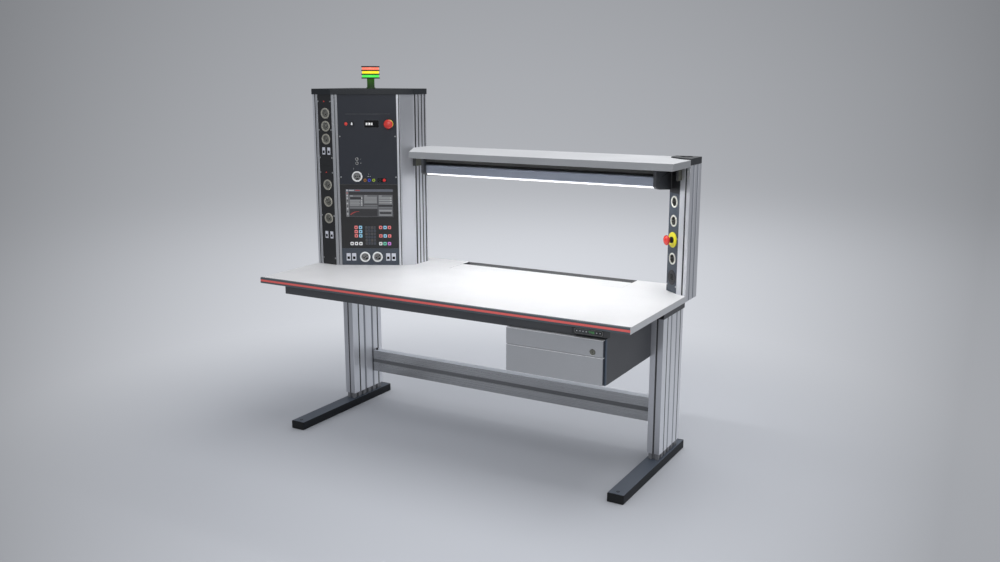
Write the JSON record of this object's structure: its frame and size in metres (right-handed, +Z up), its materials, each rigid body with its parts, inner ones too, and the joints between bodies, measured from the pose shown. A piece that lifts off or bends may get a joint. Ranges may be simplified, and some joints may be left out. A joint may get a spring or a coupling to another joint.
{
  "type": "electronics workbench",
  "caption": "Height-adjustable electronics bench: desk on two lifting columns, instrument tower, socket post, lamp shelf, drawer cabinet.",
  "frame": {"origin": "on the floor, at the middle of the bench's footprint", "axes": "+X along the desk to the right of the person who sits at it, +Y away from that person, +Z up"},
  "size_m": [1.8, 0.8, 1.6843],
  "materials": {
    "anodised_aluminium": "satin anodised",
    "anthracite_paint": "fine texture powder coat",
    "graphite_paint": "fine texture powder coat",
    "panel_aluminium": "dark anodised",
    "white_laminate": "white laminate on board",
    "shelf_laminate": "pale grey laminate on board",
    "slate_plastic": "matte",
    "red_plastic": "satin",
    "yellow_plastic": "matte",
    "red_lens": "clear coloured, lit",
    "yellow_lens": "clear coloured, lit",
    "green_lens": "clear coloured, lit",
    "black_plastic": "fine texture",
    "grey_front": "satin grey laminate",
    "zinc_steel": "zinc plated",
    "olive_casting": "painted casting",
    "lamp_aluminium": "satin anodised",
    "opal_diffuser": "opal, lit",
    "screen_glass": "glossy, lit"
  },
  "bodies": {
    "base": {"foot_left": "anthracite_paint", "foot_right": "anthracite_paint", "column_left": "anodised_aluminium", "column_right": "anodised_aluminium", "crossbar": "anodised_aluminium"},
    "desk": {"lift_tube_left": "zinc_steel", "lift_tube_right": "zinc_steel", "side_beam_left": "graphite_paint", "side_beam_right": "graphite_paint", "front_traverse": "graphite_paint", "desk_top": "white_laminate", "edge_strip": "slate_plastic", "edge_stripe": "red_plastic", "cable_tray": "graphite_paint", "tower_corner_profile": "anodised_aluminium", "tower_middle_profile": "anodised_aluminium", "tower_side_profile": "anodised_aluminium", "tower_cover": "graphite_paint", "tower_top_plate": "black_plastic", "power_supply": "zinc_steel", "socket_strip_lower": "black_plastic", "socket_strip_upper": "black_plastic", "outlet_panel": "panel_aluminium", "screen_panel": "panel_aluminium", "supply_panel": "panel_aluminium", "touch_screen": "screen_glass", "tower_stop_collar": "yellow_plastic", "signal_pole": "black_plastic", "signal_lens_green": "green_lens", "signal_lens_yellow": "yellow_lens", "signal_lens_red": "red_lens", "post_profile": "anodised_aluminium", "post_cap": "anthracite_paint", "post_panel": "panel_aluminium", "post_stop_collar": "yellow_plastic", "shelf": "shelf_laminate", "shelf_bracket_left": "olive_casting", "shelf_bracket_right": "olive_casting", "lamp_rail": "graphite_paint", "lamp_bracket_left": "graphite_paint", "lamp_bracket_right": "graphite_paint", "cabinet": "graphite_paint", "handset": "black_plastic"},
    "upper_drawer": {"drawer_front_upper": "grey_front", "drawer_tray_upper": "graphite_paint"},
    "lower_drawer": {"drawer_front_lower": "grey_front", "drawer_tray_lower": "graphite_paint"},
    "lock": {"drawer_lock": "zinc_steel"},
    "flap": {"cable_flap": "white_laminate"},
    "lamp": {"lamp_housing": "lamp_aluminium", "lamp_diffuser": "opal_diffuser", "lamp_end_left": "black_plastic", "lamp_end_right": "black_plastic"},
    "key": {"key_switch": "black_plastic"},
    "tower_stem": {"tower_stop_stem": "black_plastic"},
    "tower_head": {"tower_stop_head": "red_plastic"},
    "post_stem": {"post_stop_stem": "black_plastic"},
    "post_head": {"post_stop_head": "red_plastic"},
    "up_button": {"key_up": "black_plastic"},
    "down_button": {"key_down": "black_plastic"}
  },
  "joints": [
    {"name": "desk_lift", "type": "slide", "parent": "base", "child": "desk", "axis": [0, 0, 1], "range_m": [0, 0.4]},
    {"name": "upper_drawer_slide", "type": "slide", "parent": "desk", "child": "upper_drawer", "axis": [0, -1, 0], "range_m": [0, 0.36]},
    {"name": "lower_drawer_slide", "type": "slide", "parent": "desk", "child": "lower_drawer", "axis": [0, -1, 0], "range_m": [0, 0.36]},
    {"name": "drawer_lock_turn", "type": "hinge", "parent": "upper_drawer", "child": "lock", "pos_m": [0.741, -0.3753, 0.625], "axis": [0, 1, 0], "range_deg": [0, 90]},
    {"name": "cable_flap_hinge", "type": "hinge", "parent": "desk", "child": "flap", "pos_m": [0.165, 0.2176, 0.746], "axis": [1, 0, 0], "range_deg": [0, 100]},
    {"name": "lamp_tilt", "type": "hinge", "parent": "desk", "child": "lamp", "pos_m": [0.2275, 0.13, 1.2225], "axis": [1, 0, 0], "range_deg": [-20, 20]},
    {"name": "key_switch_turn", "type": "hinge", "parent": "desk", "child": "key", "pos_m": [-0.7049, 0.0488, 1.4193], "axis": [-0.4787, 0.878, 0], "range_deg": [0, 90]},
    {"name": "tower_stop_press", "type": "slide", "parent": "desk", "child": "tower_stem", "axis": [-0.4787, 0.878, 0], "range_m": [0, 0.005]},
    {"name": "tower_stop_twist", "type": "hinge", "parent": "tower_stem", "child": "tower_head", "pos_m": [-0.5521, 0.1321, 1.4193], "axis": [-0.4787, 0.878, 0], "range_deg": [0, 45], "stiffness_Nm_per_rad": 0.02},
    {"name": "post_stop_press", "type": "slide", "parent": "desk", "child": "post_stem", "axis": [0.6481, 0.7615, 0], "range_m": [0, 0.005]},
    {"name": "post_stop_twist", "type": "hinge", "parent": "post_stem", "child": "post_head", "pos_m": [0.8192, 0.2414, 0.9695], "axis": [0.6481, 0.7615, 0], "range_deg": [0, 45], "stiffness_Nm_per_rad": 0.02},
    {"name": "key_up_press", "type": "slide", "parent": "desk", "child": "up_button", "axis": [0, 1, 0], "range_m": [0, 0.001], "stiffness_N_per_m": 500},
    {"name": "key_down_press", "type": "slide", "parent": "desk", "child": "down_button", "axis": [0, 1, 0], "range_m": [0, 0.001], "stiffness_N_per_m": 500}
  ]
}
